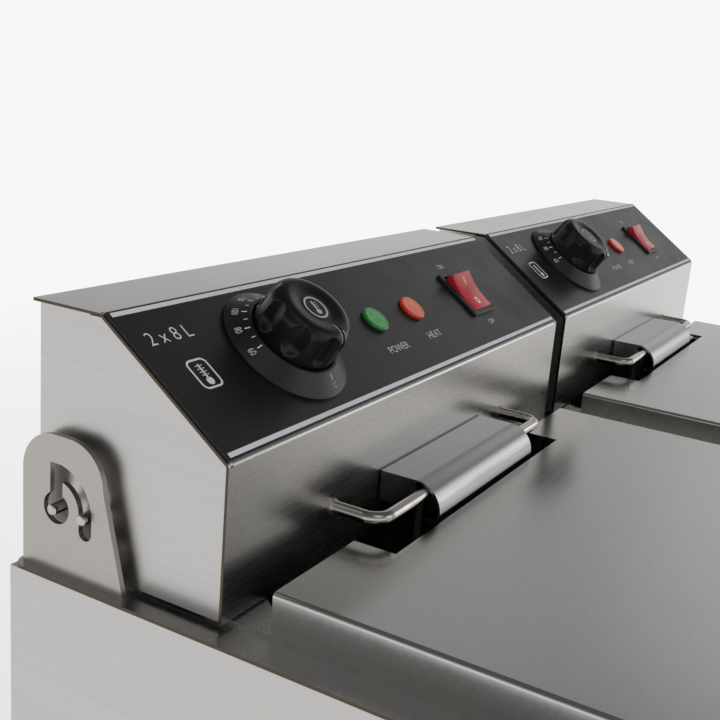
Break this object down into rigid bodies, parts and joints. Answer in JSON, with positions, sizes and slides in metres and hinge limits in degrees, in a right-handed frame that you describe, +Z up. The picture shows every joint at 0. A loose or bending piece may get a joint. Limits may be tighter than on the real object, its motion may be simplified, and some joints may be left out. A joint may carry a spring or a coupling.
{
  "type": "deep fryer",
  "caption": "Tabletop electric deep fryer with side-by-side oil tanks, lift-out baskets and lids, and tilting control heads that carry the elements.",
  "frame": {"origin": "on the surface that the feet stand on, under the middle of the cabinet", "axes": "+X to the cook's right along the cabinet's width, +Y from the cook's side towards the control heads, +Z up"},
  "size_m": [0.59, 0.5285, 0.3001],
  "materials": {
    "steel": "brushed",
    "wire": "polished",
    "screws": "polished",
    "element": "satin",
    "fascia": "satin",
    "black_plastic": "matte",
    "gloss_black": "semi-gloss",
    "brass": "machined",
    "control": "satin",
    "green_lens": "gloss",
    "orange_lens": "gloss",
    "red_rocker": "gloss",
    "rubber_feet": "matte"
  },
  "bodies": {
    "cabinet": {"cabinet_shell": "steel", "cabinet_back": "steel", "cabinet_base": "steel", "cabinet_feet": "rubber_feet", "top_deck": "steel", "bracket_screws": "screws", "left_brackets": "steel", "left_oil_tank": "steel", "right_brackets": "steel", "right_oil_tank": "steel"},
    "left_head": {"left_head_cover": "steel", "left_head_sides": "steel", "left_head_back": "steel", "left_head_base": "steel", "left_fascia": "fascia", "left_dial_skirt": "black_plastic", "left_thermostat": "control", "left_limit_thermostat": "control", "left_lamp_power": "green_lens", "left_lamp_heat": "orange_lens", "left_switch_body": "black_plastic", "left_element_hood": "steel", "left_hanger_rod": "wire", "left_heating_element": "element", "left_pivot_pins": "wire", "left_cable_gland": "black_plastic"},
    "left_knob": {"left_knob": "gloss_black", "left_thermostat_spindle": "brass"},
    "left_rocker": {"left_rocker": "red_rocker"},
    "left_strainer": {"left_strainer_plate": "steel"},
    "left_basket": {"left_basket": "wire", "left_basket_handle": "wire", "left_basket_grip": "black_plastic"},
    "left_lid": {"left_lid": "steel", "left_lid_handle": "wire"},
    "right_head": {"right_head_cover": "steel", "right_head_sides": "steel", "right_head_back": "steel", "right_head_base": "steel", "right_fascia": "fascia", "right_dial_skirt": "black_plastic", "right_thermostat": "control", "right_limit_thermostat": "control", "right_lamp_power": "green_lens", "right_lamp_heat": "orange_lens", "right_switch_body": "black_plastic", "right_element_hood": "steel", "right_hanger_rod": "wire", "right_heating_element": "element", "right_pivot_pins": "wire", "right_cable_gland": "black_plastic"},
    "right_knob": {"right_knob": "gloss_black", "right_thermostat_spindle": "brass"},
    "right_rocker": {"right_rocker": "red_rocker"},
    "right_strainer": {"right_strainer_plate": "steel"},
    "right_basket": {"right_basket": "wire", "right_basket_handle": "wire", "right_basket_grip": "black_plastic"},
    "right_lid": {"right_lid": "steel", "right_lid_handle": "wire"}
  },
  "joints": [
    {"name": "left_head_tilt", "type": "hinge", "parent": "cabinet", "child": "left_head", "pos_m": [-0.2875, 0.187, 0.2238], "axis": [-1, 0, 0], "range_deg": [0, 90]},
    {"name": "left_knob_turn", "type": "hinge", "parent": "left_head", "child": "left_knob", "pos_m": [-0.2216, 0.14709, 0.27426], "axis": [0, 0.5801, -0.8145], "range_deg": [0, 290]},
    {"name": "left_rocker_flip", "type": "hinge", "parent": "left_head", "child": "left_rocker", "pos_m": [-0.0693, 0.14652, 0.27299], "axis": [-1, 0, 0], "range_deg": [0, 22]},
    {"name": "left_strainer_lift", "type": "slide", "parent": "cabinet", "child": "left_strainer", "axis": [0, 0, 1], "range_m": [0, 0.5503]},
    {"name": "left_basket_lift", "type": "slide", "parent": "left_strainer", "child": "left_basket", "axis": [0, 0, 1], "range_m": [0, 0.12]},
    {"name": "left_lid_lift", "type": "slide", "parent": "left_basket", "child": "left_lid", "axis": [0, 0, 1], "range_m": [0, 0.1]},
    {"name": "right_head_tilt", "type": "hinge", "parent": "cabinet", "child": "right_head", "pos_m": [0.0075, 0.187, 0.2238], "axis": [-1, 0, 0], "range_deg": [0, 90]},
    {"name": "right_knob_turn", "type": "hinge", "parent": "right_head", "child": "right_knob", "pos_m": [0.0734, 0.14709, 0.27426], "axis": [0, 0.5801, -0.8145], "range_deg": [0, 290]},
    {"name": "right_rocker_flip", "type": "hinge", "parent": "right_head", "child": "right_rocker", "pos_m": [0.2257, 0.14652, 0.27299], "axis": [-1, 0, 0], "range_deg": [0, 22]},
    {"name": "right_strainer_lift", "type": "slide", "parent": "cabinet", "child": "right_strainer", "axis": [0, 0, 1], "range_m": [0, 0.5503]},
    {"name": "right_basket_lift", "type": "slide", "parent": "right_strainer", "child": "right_basket", "axis": [0, 0, 1], "range_m": [0, 0.12]},
    {"name": "right_lid_lift", "type": "slide", "parent": "right_basket", "child": "right_lid", "axis": [0, 0, 1], "range_m": [0, 0.1]}
  ],
  "couplings": [
    {"joint": "left_strainer_lift", "follows": "left_head_tilt", "m_per_rad": 0.35},
    {"joint": "right_strainer_lift", "follows": "right_head_tilt", "m_per_rad": 0.35}
  ]
}
